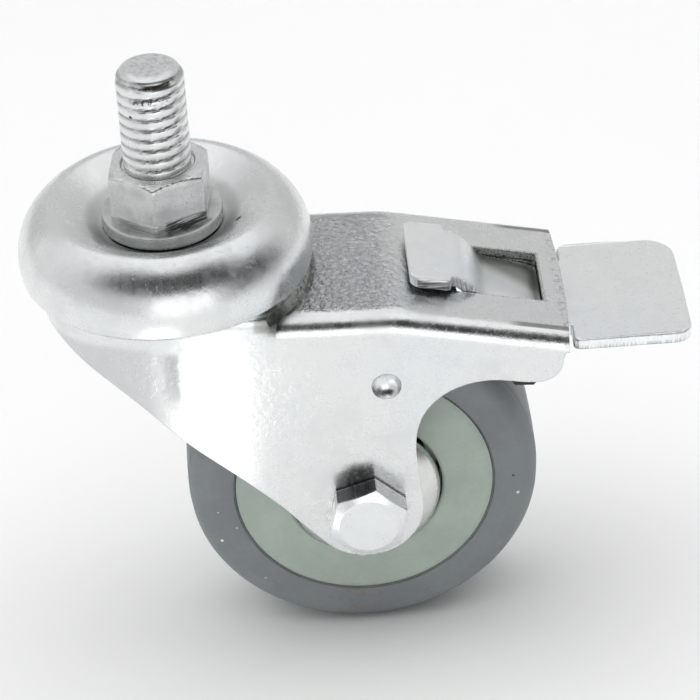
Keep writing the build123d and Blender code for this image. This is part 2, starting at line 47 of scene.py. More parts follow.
# ================================================================== node helpers
class Mat:
    """A small writer for shader node trees."""

    def __init__(self, name):
        self.m = bpy.data.materials.new(name)
        self.m.use_nodes = True
        self.t = self.m.node_tree
        self.t.nodes.clear()
        self.out = self.t.nodes.new("ShaderNodeOutputMaterial")
        self.bsdf = self.t.nodes.new("ShaderNodeBsdfPrincipled")
        self.t.links.new(self.bsdf.outputs[0], self.out.inputs[0])
        self.pos = self.node("ShaderNodeTexCoord").outputs["Object"]
        self._xyz = None

    def node(self, kind, **props):
        n = self.t.nodes.new(kind)
        for k, v in props.items():
            setattr(n, k, v)
        return n

    def put(self, socket, value):
        if isinstance(value, bpy.types.NodeSocket):
            self.t.links.new(value, socket)
        elif value is not None:
            socket.default_value = value

    def set(self, name, value):
        self.put(self.bsdf.inputs[name], value)

    def math(self, op, a, b=None, c=None, clamp=False):
        n = self.node("ShaderNodeMath", operation=op, use_clamp=clamp)
        self.put(n.inputs[0], a)
        self.put(n.inputs[1], b)
        self.put(n.inputs[2], c)
        return n.outputs[0]

    def add(self, a, b):
        return self.math("ADD", a, b)

    def sub(self, a, b):
        return self.math("SUBTRACT", a, b)

    def mul(self, a, b):
        return self.math("MULTIPLY", a, b)

    def xyz(self):
        if self._xyz is None:
            s = self.node("ShaderNodeSeparateXYZ")
            self.put(s.inputs[0], self.pos)
            self._xyz = (s.outputs[0], s.outputs[1], s.outputs[2])
        return self._xyz

    def vec(self, x, y, z):
        c = self.node("ShaderNodeCombineXYZ")
        self.put(c.inputs[0], x)
        self.put(c.inputs[1], y)
        self.put(c.inputs[2], z)
        return c.outputs[0]

    def scale_vec(self, v, s):
        n = self.node("ShaderNodeVectorMath", operation="MULTIPLY")
        self.put(n.inputs[0], v)
        n.inputs[1].default_value = s
        return n.outputs[0]

    def shift(self, v, s):
        n = self.node("ShaderNodeVectorMath", operation="ADD")
        self.put(n.inputs[0], v)
        n.inputs[1].default_value = s
        return n.outputs[0]

    def noise(self, scale, detail=2.0, rough=0.5, vec=None, dist=0.0):
        n = self.node("ShaderNodeTexNoise")
        self.put(n.inputs["Vector"], vec if vec is not None else self.pos)
        n.inputs["Scale"].default_value = scale
        n.inputs["Detail"].default_value = detail
        n.inputs["Roughness"].default_value = rough
        n.inputs["Distortion"].default_value = dist
        return n.outputs["Fac"]

    def voronoi(self, scale, feature="F1", vec=None, rand=1.0, out="Distance"):
        n = self.node("ShaderNodeTexVoronoi", feature=feature)
        self.put(n.inputs["Vector"], vec if vec is not None else self.pos)
        n.inputs["Scale"].default_value = scale
        n.inputs["Randomness"].default_value = rand
        return n.outputs[out]

    def ramp(self, fac, lo, hi, a=0.0, b=1.0, smooth=True):
        n = self.node("ShaderNodeMapRange", interpolation_type="SMOOTHSTEP" if smooth else "LINEAR")
        self.put(n.inputs["Value"], fac)
        self.put(n.inputs["From Min"], lo)
        self.put(n.inputs["From Max"], hi)
        self.put(n.inputs["To Min"], a)
        self.put(n.inputs["To Max"], b)
        return n.outputs["Result"]

    def mix(self, fac, a, b, blend="MIX"):
        n = self.node("ShaderNodeMix", data_type="RGBA", blend_type=blend)
        self.put(n.inputs["Factor"], fac)
        self.put(n.inputs[6], a)
        self.put(n.inputs[7], b)
        return n.outputs[2]

    def bump(self, height, distance, strength=1.0, normal=None):
        n = self.node("ShaderNodeBump")
        n.inputs["Strength"].default_value = strength
        n.inputs["Distance"].default_value = distance
        self.put(n.inputs["Height"], height)
        if normal is not None:
            self.put(n.inputs["Normal"], normal)
        return n.outputs[0]

    def blob(self, p, r, soft=0.5):
        """1 inside a ball of radius r (metres) round p, falling to 0 outside."""
        n = self.node("ShaderNodeVectorMath", operation="DISTANCE")
        self.put(n.inputs[0], self.pos)
        n.inputs[1].default_value = p
        return self.ramp(n.outputs["Value"], r * (1 - soft), r, 1.0, 0.0)

    def segment(self, a, b, half, soft=0.6):
        """1 on the line from a to b (metres), half wide: for single scratches and scuffs."""
        a, b = Vector(a), Vector(b)
        d = b - a
        length = d.length
        u = d / length
        s = self.shift(self.pos, tuple(-a))
        dot = self.node("ShaderNodeVectorMath", operation="DOT_PRODUCT")
        self.put(dot.inputs[0], s)
        dot.inputs[1].default_value = tuple(u)
        along = self.math("MAXIMUM", self.math("MINIMUM", dot.outputs["Value"], length), 0.0)
        proj = self.node("ShaderNodeVectorMath", operation="SCALE")
        proj.inputs[0].default_value = tuple(u)
        self.put(proj.inputs["Scale"], along)
        dist = self.node("ShaderNodeVectorMath", operation="DISTANCE")
        self.put(dist.inputs[0], s)
        self.put(dist.inputs[1], proj.outputs[0])
        return self.ramp(dist.outputs["Value"], half * (1 - soft), half, 1.0, 0.0)

    def axis_radius(self, axis, x0=0.0, z0=0.0):
        """Distance from the vertical axis at the origin ("Z") or from the axle line ("Y"), in metres."""
        x, y, z = self.xyz()
        if axis == "Z":
            p, q = x, y
        else:
            p, q = self.sub(x, x0), self.sub(z, z0)
        return self.math("SQRT", self.add(self.mul(p, p), self.mul(q, q)))


def plated(name, base=(0.80, 0.81, 0.812), rough=0.20, peel=1.0, peel_scale=900.0, scratch=0.5,
           grime=0.35, extra=None, turned=None, edge=0.00022):
    """Bright zinc plating over pressed or turned steel."""
    m = Mat(name)
    # slow tint changes of the passivation
    tint = m.noise(55.0, 3.0, 0.55)
    warm = (base[0] * 1.0, base[1] * 0.998, base[2] * 0.985, 1)
    cool = (base[0] * 0.97, base[1] * 0.99, base[2] * 1.0, 1)
    col = m.mix(m.ramp(tint, 0.35, 0.65), cool, warm)
    cloud = m.noise(240.0, 4.0, 0.6)
    col = m.mix(m.ramp(cloud, 0.40, 0.72, 0.0, 0.22), col, (base[0] * 0.74, base[1] * 0.75, base[2] * 0.75, 1))
    # fine dust and pits
    pits = m.voronoi(1500.0)
    pit_mask = m.mul(m.ramp(pits, 0.05, 0.16, 1.0, 0.0), m.ramp(m.noise(130.0, 2.0), 0.52, 0.66))
    col = m.mix(m.mul(pit_mask, grime), col, (0.10, 0.10, 0.095, 1))
    # fine random scratches: thin lines out of stretched noise in three directions
    lines = None
    for i, (sx, sy, sz) in enumerate(((60, 2600, 2200), (2400, 90, 1900), (900, 2300, 60))):
        v = m.scale_vec(m.pos, (sx, sy, sz))
        ln = m.noise(1.0, 1.0, 0.4, vec=v, dist=0.15)
        ln = m.mul(m.ramp(ln, 0.655, 0.70), m.ramp(m.noise(70.0 + 20 * i, 1.0, vec=m.shift(m.pos, (i * 1.3, 0.2, 0.7))), 0.5, 0.64))
        lines = ln if lines is None else m.math("MAXIMUM", lines, ln)
    rgh = m.add(rough, m.mul(m.ramp(cloud, 0.35, 0.7), 0.10))
    rgh = m.add(rgh, m.mul(lines, 0.22 * scratch))
    rgh = m.add(rgh, m.mul(m.ramp(m.noise(900.0, 3.0, 0.65), 0.3, 0.7), 0.06))
    # shape of the surface: pressed sheet waviness, orange peel, grain
    wave = m.noise(95.0, 2.0, 0.5)
    peel_n = m.noise(peel_scale, 2.0, 0.55)
    grain = m.noise(5200.0, 2.0, 0.6)
    n0 = None
    if edge:
        # tumbled edges: a small radius on every corner of the sheet
        bevel = m.node("ShaderNodeBevel", samples=6)
        bevel.inputs["Radius"].default_value = edge
        n0 = bevel.outputs[0]
    n1 = m.bump(wave, 0.00016, 0.5, n0)
    n2 = m.bump(peel_n, 0.000030 * peel, 0.8, n1)
    n3 = m.bump(grain, 0.0000035, 0.8, n2)
    n4 = m.bump(m.math("SUBTRACT", 1.0, m.add(m.mul(lines, scratch), m.mul(pit_mask, 0.6))), 0.000006, 0.8, n3)
    if extra:
        col, rgh, n4 = extra(m, col, rgh, n4)
    if turned:
        col, rgh, n4 = turned(m, col, rgh, n4)
    m.set("Base Color", col)
    m.set("Metallic", 1.0)
    m.set("Roughness", rgh)
    m.set("Normal", n4)
    return m


def rings(axis, pitch, depth, x0=0.0, z0=0.0, amount=0.8):
    """Lathe marks: fine circular grooves round an axis."""
    def fn(m, col, rgh, nrm):
        r = m.axis_radius(axis, x0, z0)
        w = m.math("SINE", m.mul(r, 2 * math.pi / pitch))
        jitter = m.noise(700.0, 2.0, 0.6)
        w = m.add(w, m.mul(jitter, 0.9))
        nrm = m.bump(w, depth, amount, nrm)
        rgh = m.add(rgh, 0.04)
        return col, rgh, nrm
    return fn


def plastic(name, base, rough=0.5, grain=1.0, dirt=0.3, spec=0.5, mottling=0.12, dust=(0.55, 0.54, 0.50), extra=None):
    m = Mat(name)
    c1 = (*base, 1)
    c2 = (base[0] * (1 - mottling), base[1] * (1 - mottling), base[2] * (1 - mottling * 0.8), 1)
    col = m.mix(m.ramp(m.noise(160.0, 4.0, 0.6), 0.35, 0.68), c1, c2)
    fine = m.noise(1800.0, 3.0, 0.65)
    col = m.mix(m.ramp(fine, 0.42, 0.72, 0.0, 0.25), col, (base[0] * 0.8, base[1] * 0.8, base[2] * 0.8, 1))
    spots = m.mul(m.ramp(m.voronoi(900.0), 0.04, 0.12, 1.0, 0.0), m.ramp(m.noise(90.0, 2.0), 0.5, 0.62))
    col = m.mix(m.mul(spots, dirt), col, (*dust, 1))
    rgh = m.add(rough - 0.05, m.mul(m.ramp(m.noise(420.0, 4.0, 0.6), 0.3, 0.7), 0.12))
    n1 = m.bump(m.noise(260.0, 2.0, 0.5), 0.00006, 0.4)
    n2 = m.bump(fine, 0.000012 * grain, 0.8, n1)
    n3 = m.bump(m.noise(7000.0, 2.0, 0.5), 0.000003 * grain, 0.8, n2)
    if extra:
        col, rgh, n3 = extra(m, col, rgh, n3)
    m.set("Base Color", col)
    m.set("Metallic", 0.0)
    m.set("Roughness", rgh)
    m.set("Normal", n3)
    m.bsdf.inputs["Specular IOR Level"].default_value = spec
    return m


# ================================================================== pieces that replace a plain solid
def ring_mesh(name, rings, sharp_deg=32.0, merge_ends=True):
    """Mesh through closed rings of points (millimetres); each ring has the same number of points."""
    n = len(rings[0])
    verts, faces = [], []
    for ring in rings:
        verts += [(p[0] * MM, p[1] * MM, p[2] * MM) for p in ring]
    for i in range(len(rings) - 1):
        a, b = i * n, (i + 1) * n
        for k in range(n):
            k2 = (k + 1) % n
            faces.append((a + k, a + k2, b + k2, b + k))
    me = bpy.data.meshes.new(name)
    me.from_pydata(verts, [], faces)
    bm = bmesh.new()
    bm.from_mesh(me)
    if merge_ends:
        bmesh.ops.remove_doubles(bm, verts=bm.verts, dist=1e-7)
    bmesh.ops.recalc_face_normals(bm, faces=bm.faces)
    lim = math.radians(sharp_deg)
    for f in bm.faces:
        f.smooth = True
    for e in bm.edges:
        if len(e.link_faces) == 2 and e.calc_face_angle(0.0) > lim:
            e.smooth = False
    bm.to_mesh(me)
    bm.free()
    ob = bpy.data.objects.new(name, me)
    bpy.context.scene.collection.objects.link(ob)
    return ob


def stem_piece():
    """Rolled 3/8-16 thread with its dished tip, hexagon with worn corners, collar and riveted kingpin."""
    n = 288
    pitch = 1.5875
    th = [math.radians(-97.0 + 360.0 * k / n) for k in range(n)]
    hexr = []
    for k in range(n):
        deg = (360.0 * k / n) % 60.0
        r = 6.5 / math.cos(math.radians(deg - 30.0))
        step = min(k % 48, 48 - k % 48)
        hexr.append(min(r, (7.425, 7.395, 7.325)[step]) if step < 3 else r)

    def even(r, z):
        return [(r * math.cos(t), r * math.sin(t), z) for t in th]

    rings = []
    for r, z in ((0.0, 14.93), (0.9, 14.94), (1.8, 14.95), (2.6, 14.97), (2.95, 15.0), (3.12, 14.97), (3.3, 14.82),
                 (3.5, 14.66), (3.75, 14.60), (3.95, 14.56), (4.08, 14.44), (4.16, 14.25)):
        rings.append(even(r, z))
    z = 14.15
    while z > -0.31:
        row = []
        env = 4.2 + min(max((14.15 - z) / 0.75, 0.0), 1.0) ** 0.6 * 0.5
        fade = min(max((z + 0.3) / 0.5, 0.0), 1.0)
        fade_top = min(max((14.3 - z) / 0.6, 0.0), 1.0)
        for t in th:
            ph = ((z - 7.41) / pitch - (t + math.radians(93.0)) / (2 * math.pi) + 0.5) % 1.0
            w = abs(ph - 0.5) * pitch
            if w < 0.30:
                d = 0.34 * (1 - w / 0.30) ** 0.8 + 0.05
            else:
                # flattened, slightly crowned crest
                d = 0.05 * ((0.79 - w) / 0.49) ** 2
            r = env - d * (0.35 + 0.65 * fade) * (0.4 + 0.6 * fade_top)
            r = min(r, 4.7)
            row.append((r * math.cos(t), r * math.sin(t), z))
        rings.append(row)
        z -= 0.105
    rings.append(even(4.36, -0.36))
    rings.append(even(4.95, -0.36))
    rings.append(even(5.1, -0.08))
    rings.append(even(5.2, 0.0))
    rings.append(even(5.8, 0.0))

    def hexring(inset, drop, extra=0.0):
        row = []
        for t, r in zip(th, hexr):
            q = r - inset + extra
            zz = -max(0.0, q - 6.45) * 0.551 - drop
            row.append((q * math.cos(t), q * math.sin(t), zz))
        return row

    rings.append(hexring(0.34, 0.0))
    rings.append(hexring(0.16, 0.03))
    rings.append(hexring(0.04, 0.13))
    rings.append(hexring(0.0, 0.30))

    def hexflat(z, extra=0.0):
        return [((r + extra) * math.cos(t), (r + extra) * math.sin(t), z) for t, r in zip(th, hexr)]

    for z in (-1.2, -2.4, -3.6, -4.8, -5.85):
        rings.append(hexflat(z))
    for z, e in ((-6.0, 0.03), (-6.1, 0.09), (-6.25, 0.11), (-6.9, 0.10), (-7.25, 0.06), (-7.4, 0.10)):
        rings.append(hexflat(z, e))
    for r, z in ((7.85, -7.40), (8.1, -7.42), (8.25, -7.5), (8.33, -7.66), (8.33, -9.15), (8.2, -9.3),
                 (5.0, -9.3), (5.0, -19.75), (6.9, -19.75), (6.9, -20.45), (6.1, -21.45), (3.0, -21.6), (0.0, -21.65)):
        rings.append(even(r, z))
    return ring_mesh("stem_threaded", rings, 30.0)


def wheel_lathe(name, profile, n=256, sharp=30.0, closed=True):
    """Turned shape on the axle: profile of (y, radius) in millimetres."""
    pts = list(profile) + ([profile[0]] if closed else [])
    rings = []
    for y, r in pts:
        rings.append([(WX + r * math.cos(2 * math.pi * k / n), y, WZ + r * math.sin(2 * math.pi * k / n))
                      for k in range(n)])
    return ring_mesh(name, rings, sharp)


def tyre_piece():
    """Tread between two moulded shoulder lines, flat sides."""
    w, c, top = 9.1, 3.3, 24.9
    half = [(6.2, 17.6), (8.95, 18.42), (9.05, 18.5), (9.1, 18.72), (9.1, 19.6), (9.1, 20.6), (9.1, 21.5)]
    for i in range(1, 9):
        a = math.radians(90.0 * i / 8 * 0.76)
        half.append((w - c + c * math.cos(a), top - c + c * math.sin(a)))
    # moulded line where the tread meets the shoulder
    y0, r0 = half[-1]
    half += [(y0 - 0.10, r0 + 0.05), (y0 - 0.17, r0 + 0.03), (y0 - 0.24, r0 - 0.10), (y0 - 0.40, r0 - 0.11),
             (y0 - 0.62, r0 + 0.01), (y0 - 1.0, r0 + 0.14), (y0 - 1.6, r0 + 0.24)]
    yl, rl = half[-1]
    for i in range(1, 8):
        f = i / 8.0
        half.append((yl * (1 - f), rl + (24.995 - rl) * math.sin(f * math.pi / 2)))
    mirror = [(-y, r) for y, r in reversed(half)]
    prof = half + [(0.0, 25.0)] + mirror + [(-6.2, 16.4), (-3.0, 16.4), (3.0, 16.4), (6.2, 16.4)]
    return wheel_lathe("tyre_moulded", prof)


stem_ob = stem_piece()
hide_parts("threaded_stem")
tyre_ob = tyre_piece()
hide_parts("tyre")


# ================================================================== surface stories
WHITE = (0.95, 0.955, 0.96, 1)
# near-black used for real dirt specks and for painted shade in creases and gaps
SOOT_AND_SHADE = (0.035, 0.035, 0.034, 1)


def scratch(m, col, rgh, nrm, a, b, half, tone=WHITE, amount=0.9):
    k = m.mul(m.segment(a, b, half), m.ramp(m.noise(1300.0, 2.0, 0.6), 0.30, 0.50))
    col = m.mix(m.mul(k, amount), col, tone)
    rgh = m.add(rgh, m.mul(k, 0.25))
    nrm = m.bump(m.sub(1.0, k), 0.000010, 0.7, nrm)
    return col, rgh, nrm


def fork_story(m, col, rgh, nrm):
    x, y, z = m.xyz()
    # stretched sheet: coarse orange peel on the plate beside the cup, fainter on the skirt and leg
    flat = m.ramp(m.math("ABSOLUTE", y), 0.0113, 0.0127, 1.0, 0.0)
    top = m.mul(m.mul(flat, m.ramp(z, -0.0228, -0.0206)), m.mul(m.ramp(x, 0.0150, 0.0205), m.ramp(x, 0.0270, 0.0345, 1.0, 0.0)))
    skirt = m.blob((-0.0060, -0.0118, -0.0255), 0.0085, 0.8)
    leg = m.blob((0.0170, -0.0148, -0.0300), 0.0125, 0.8)
    rear = m.mul(m.ramp(x, 0.0400, 0.0450), m.ramp(z, -0.0262, -0.0250))
    area_mask = m.math("MAXIMUM", top, m.math("MAXIMUM", m.mul(skirt, 0.12), m.math("MAXIMUM", m.mul(leg, 0.08), m.mul(rear, 0.05))))
    coarse = m.noise(1250.0, 3.0, 0.60, dist=0.7)
    cells = m.voronoi(1200.0, feature="SMOOTH_F1")
    height = m.add(coarse, m.mul(cells, 0.40))
    nrm = m.bump(m.mul(height, area_mask), 0.00075, 1.0, nrm)
    # painted shade: the plate top beside the cup is painted darker
    col = m.mix(m.mul(top, 0.62), col, (0.46, 0.47, 0.49, 1))
    # painted reflection: grey-green tone of the plate mirrored on the drum wall under the cup; painted shade in the
    # crease at its foot, and a painted shadow wedge where it meets the fold
    drum = m.axis_radius("Z")
    drum_reflection = m.mul(m.mul(m.ramp(drum, 0.0183, 0.0188), m.ramp(drum, 0.0201, 0.0207, 1.0, 0.0)), m.mul(m.ramp(x, 0.0085, 0.0105), m.ramp(z, -0.0200, -0.0192)))
    col = m.mix(m.mul(drum_reflection, 0.62), col, (0.30, 0.32, 0.28, 1))
    crease_shade = m.mul(m.mul(m.ramp(drum, 0.0196, 0.0200), m.ramp(drum, 0.0203, 0.0207, 1.0, 0.0)), m.mul(m.ramp(x, 0.0085, 0.0105), m.ramp(z, -0.0205, -0.0197)))
    col = m.mix(m.mul(m.mul(crease_shade, m.ramp(m.noise(900.0, 3.0, 0.65), 0.30, 0.56)), 0.50), col, SOOT_AND_SHADE)
    wedge_shadow = m.mul(m.blob((0.0136, -0.0126, -0.0186), 0.0036, 0.75), m.ramp(m.noise(1500.0, 3.0, 0.65), 0.20, 0.46))
    col = m.mix(m.mul(wedge_shadow, 0.90), col, SOOT_AND_SHADE)
    flecks = m.mul(m.ramp(m.noise(1900.0, 3.0, 0.62), 0.55, 0.68), area_mask)
    col = m.mix(m.mul(flecks, 0.60), col, (0.34, 0.345, 0.36, 1))
    # long scratches left by the press tool
    for p, q, h in (((0.0254, 0.0051, -0.0189), (0.0276, 0.0049, -0.0190), 0.00014),
                    ((0.0258, -0.0079, -0.0189), (0.0286, -0.0076, -0.0190), 0.00013),
                    ((0.0255, 0.0037, -0.0189), (0.0262, 0.0036, -0.0189), 0.00012),
                    ((0.0122, -0.0149, -0.0257), (0.0144, -0.0149, -0.0260), 0.00011),
                    ((0.0124, -0.0149, -0.0272), (0.0133, -0.0149, -0.0268), 0.00010)):
        col, rgh, nrm = scratch(m, col, rgh, nrm, p, q, h)
    # torn edge of the punched window and of the rear edge
    win = m.mul(m.mul(m.ramp(x, 0.0415, 0.0425), m.ramp(x, 0.0519, 0.0521, 1.0, 0.0)),
                m.mul(m.ramp(m.math("ABSOLUTE", y), 0.00572, 0.00592), m.ramp(m.math("ABSOLUTE", y), 0.00612, 0.00630, 1.0, 0.0)))
    winx = m.mul(m.mul(m.ramp(x, 0.05145, 0.0516), m.ramp(x, 0.05185, 0.0520, 1.0, 0.0)),
                 m.ramp(m.math("ABSOLUTE", y), 0.0060, 0.0061, 1.0, 0.0))
    under = m.add(m.add(z, 0.0191), m.mul(m.sub(x, 0.0304), 0.2257))
    ragged = m.mul(m.noise(1500.0, 3.0, 0.7), 0.0007)
    under = m.sub(under, ragged)
    wall = m.math("MAXIMUM", win, winx)
    torn = m.mul(wall, m.ramp(under, -0.00150, -0.00142))
    line = m.mul(wall, m.mul(m.ramp(under, -0.00175, -0.00168), m.ramp(under, -0.00150, -0.00143, 1.0, 0.0)))
    chips = m.noise(3600.0, 3.0, 0.7, dist=0.8)
    nrm = m.bump(m.mul(chips, torn), 0.00110, 1.0, nrm)
    # painted glint: near-white tone on the torn band
    col = m.mix(m.mul(torn, 0.95), col, (1.0, 1.0, 0.99, 1))
    rgh = m.add(rgh, m.mul(torn, 0.12))
    col = m.mix(m.mul(m.mul(torn, m.ramp(chips, 0.55, 0.60)), 0.92), col, (0.04, 0.04, 0.035, 1))
    # painted shade: dark line below the torn band
    col = m.mix(m.mul(line, 0.8), col, (0.05, 0.05, 0.045, 1))
    rear_edge = m.mul(m.ramp(x, 0.0533, 0.0539), m.ramp(m.noise(1500.0, 3.0, 0.7), 0.50, 0.64))
    col = m.mix(m.mul(rear_edge, 0.5), col, (0.22, 0.22, 0.21, 1))
    # painted shade on the inside walls of the channel
    ay = m.math("ABSOLUTE", y)
    inside = m.mul(m.mul(m.ramp(ay, 0.0118, 0.0122), m.ramp(ay, 0.01288, 0.01294, 1.0, 0.0)), m.mul(m.ramp(z, -0.0232, -0.0225, 1.0, 0.0), m.ramp(x, 0.0030, 0.0060)))
    col = m.mix(m.mul(inside, 0.75), col, (0.16, 0.16, 0.155, 1))
    # painted reflection of the dark bolt head on the leg above it
    bolt_reflection = m.mul(m.mul(m.blob((0.0240, -0.0149, -0.0450), 0.0031, 0.7), m.ramp(x, 0.0262, 0.0268, 1.0, 0.0)), m.ramp(z, -0.0470, -0.0462))
    col = m.mix(m.mul(m.mul(bolt_reflection, m.ramp(m.noise(1300.0, 3.0, 0.6), 0.30, 0.55, 0.5, 1.0)), 0.85), col, (0.10, 0.10, 0.10, 1))
    # painted shade round the front of the skirt
    nose_shade = m.mul(m.ramp(x, -0.0045, -0.0010, 1.0, 0.0), m.ramp(z, -0.0232, -0.0218, 1.0, 0.0))
    col = m.mix(m.mul(nose_shade, 0.70), col, (0.58, 0.585, 0.595, 1))
    # painted dark reflection in a streak down the front corner of the near leg
    streak_x = m.add(x, m.mul(m.noise(500.0, 3.0, 0.6), 0.0010))
    leg_reflection_streak = m.mul(m.mul(m.ramp(streak_x, -0.0034, -0.0012), m.ramp(streak_x, 0.0006, 0.0014, 1.0, 0.0)), m.mul(m.ramp(y, -0.0134, -0.0128, 1.0, 0.0), m.mul(m.ramp(z, -0.0335, -0.0285), m.ramp(z, -0.0238, -0.0222, 1.0, 0.0))))
    col = m.mix(m.mul(leg_reflection_streak, 0.80), col, (0.42, 0.43, 0.44, 1))
    # settled dirt round the axle bolt and along the bottom edge of the leg
    ring = m.axis_radius("Y", WX * MM, WZ * MM)
    foot = m.ramp(ring, 0.0054, 0.0068, 1.0, 0.0)
    col = m.mix(m.mul(m.mul(foot, m.ramp(m.noise(1200.0, 3.0, 0.65), 0.42, 0.60)), 0.30), col, (0.42, 0.41, 0.38, 1))
    low = m.mul(m.ramp(z, -0.0580, -0.0555, 1.0, 0.0), m.ramp(m.noise(1500.0, 3.0, 0.7), 0.52, 0.66))
    col = m.mix(m.mul(low, 0.5), col, (0.30, 0.27, 0.22, 1))
    return col, rgh, nrm


def lever_story(m, col, rgh, nrm):
    x, y, z = m.xyz()
    ay = m.math("ABSOLUTE", y)
    # sheared flanks: layered lines on the tab, upright ribs on the neck and foot plate
    tab = m.mul(m.ramp(ay, 0.00705, 0.00720), m.ramp(x, 0.0389, 0.0392, 1.0, 0.0))
    neck = m.mul(m.mul(m.ramp(ay, 0.00568, 0.00580), m.ramp(ay, 0.0061, 0.0063, 1.0, 0.0)),
                 m.mul(m.ramp(x, 0.0386, 0.0390), m.ramp(x, 0.0500, 0.0510, 1.0, 0.0)))
    plate = m.mul(m.ramp(ay, 0.01165, 0.01195), m.ramp(x, 0.0553, 0.0560))
    layers = m.noise(1.0, 2.0, 0.6, vec=m.scale_vec(m.pos, (260, 260, 5200)))
    ribs = m.noise(1.0, 2.0, 0.6, vec=m.scale_vec(m.pos, (3300, 400, 260)))
    side = m.mul(tab, m.ramp(m.add(z, m.mul(m.sub(x, 0.0332), 0.21)), -0.01790, -0.01778, 1.0, 0.0))
    col = m.mix(m.mul(side, 0.45), col, (0.22, 0.22, 0.22, 1))
    col = m.mix(m.mul(m.mul(side, m.ramp(layers, 0.46, 0.58)), 0.85), col, (0.05, 0.05, 0.05, 1))
    nrm = m.bump(m.add(m.mul(layers, tab), m.mul(ribs, m.math("MAXIMUM", neck, plate))), 0.00022, 1.0, nrm)
    col = m.mix(m.mul(m.mul(neck, m.ramp(ribs, 0.56, 0.70)), 0.45), col, (0.30, 0.30, 0.29, 1))
    low = m.mul(plate, m.ramp(z, -0.0283, -0.0276, 1.0, 0.0))
    col = m.mix(m.mul(m.mul(low, m.ramp(ribs, 0.42, 0.60)), 0.5), col, (0.34, 0.32, 0.27, 1))
    # painted shadow cast by the plate's far edge on the strip inside the window, with painted shade round it
    beyond = m.add(m.add(y, m.mul(m.sub(x, 0.0440), 0.62)), m.mul(m.noise(420.0, 2.0), 0.0008))
    inset = m.mul(m.ramp(x, 0.0425, 0.0440), m.ramp(x, 0.0528, 0.0534, 1.0, 0.0))
    window_shadow = m.mul(m.ramp(beyond, 0.0020, 0.0056), inset)
    col = m.mix(m.mul(window_shadow, 0.80), col, (0.10, 0.11, 0.09, 1))
    window_shade = m.mul(inset, m.ramp(beyond, -0.0040, 0.0020))
    col = m.mix(m.mul(window_shade, 0.42), col, (0.42, 0.44, 0.41, 1))
    # painted highlight on the rolled edge of the tab and on the sheared neck
    rolled_highlight = m.mul(m.mul(m.ramp(y, -0.0072, -0.0058, 1.0, 0.0), m.ramp(x, 0.0326, 0.0338)), m.ramp(x, 0.0370, 0.0384, 1.0, 0.0))
    col = m.mix(m.mul(m.mul(rolled_highlight, m.sub(1.0, side)), 0.9), col, (1.0, 1.0, 1.0, 1))
    col = m.mix(m.mul(m.mul(neck, m.ramp(ribs, 0.50, 0.42)), 0.8), col, (1.0, 1.0, 1.0, 1))
    # fine hammered grain on the foot plate
    foot = m.ramp(x, 0.0550, 0.0570)
    grain = m.noise(2600.0, 3.0, 0.65)
    nrm = m.bump(m.mul(grain, m.add(0.35, m.mul(foot, 0.65))), 0.000022, 1.0, nrm)
    dots = m.mul(m.ramp(m.noise(3300.0, 2.0, 0.6, vec=m.shift(m.pos, (0.3, 0.7, 0.1))), 0.61, 0.70), m.add(0.3, m.mul(foot, 0.7)))
    col = m.mix(m.mul(dots, 0.30), col, (0.40, 0.41, 0.42, 1))
    return col, rgh, nrm


def bolt_story(m, col, rgh, nrm):
    x, y, z = m.xyz()
    # painted dark reflection on the flats of the head, darkest on the upper left one
    flats = m.mul(m.ramp(y, -0.0149, -0.0147, 1.0, 0.0), m.ramp(m.axis_radius("Y", WX * MM, WZ * MM), 0.00488, 0.00496))
    flats = m.mul(flats, m.ramp(y, -0.0184, -0.0180))
    dark = m.mul(flats, m.mul(m.ramp(z, -0.0492, -0.0478), m.ramp(x, 0.0262, 0.0268, 1.0, 0.0)))
    col = m.mix(m.mul(dark, 0.72), col, (0.16, 0.16, 0.17, 1))
    col = m.mix(m.mul(m.sub(flats, dark), 0.42), col, (0.45, 0.46, 0.46, 1))
    # thin washer face line where the head meets the leg, with painted shade where the head touches the leg
    upper = m.mul(m.ramp(m.axis_radius("Y", WX * MM, WZ * MM), 0.00470, 0.00480), m.ramp(z, -0.0505, -0.0490))
    lip = m.mul(upper, m.mul(m.ramp(y, -0.01568, -0.01560), m.ramp(y, -0.01535, -0.01527, 1.0, 0.0)))
    under = m.mul(upper, m.ramp(y, -0.01530, -0.01524))
    col = m.mix(m.mul(lip, 0.55), col, (0.85, 0.85, 0.85, 1))
    col = m.mix(m.mul(under, 0.85), col, (0.03, 0.03, 0.03, 1))
    return col, rgh, nrm


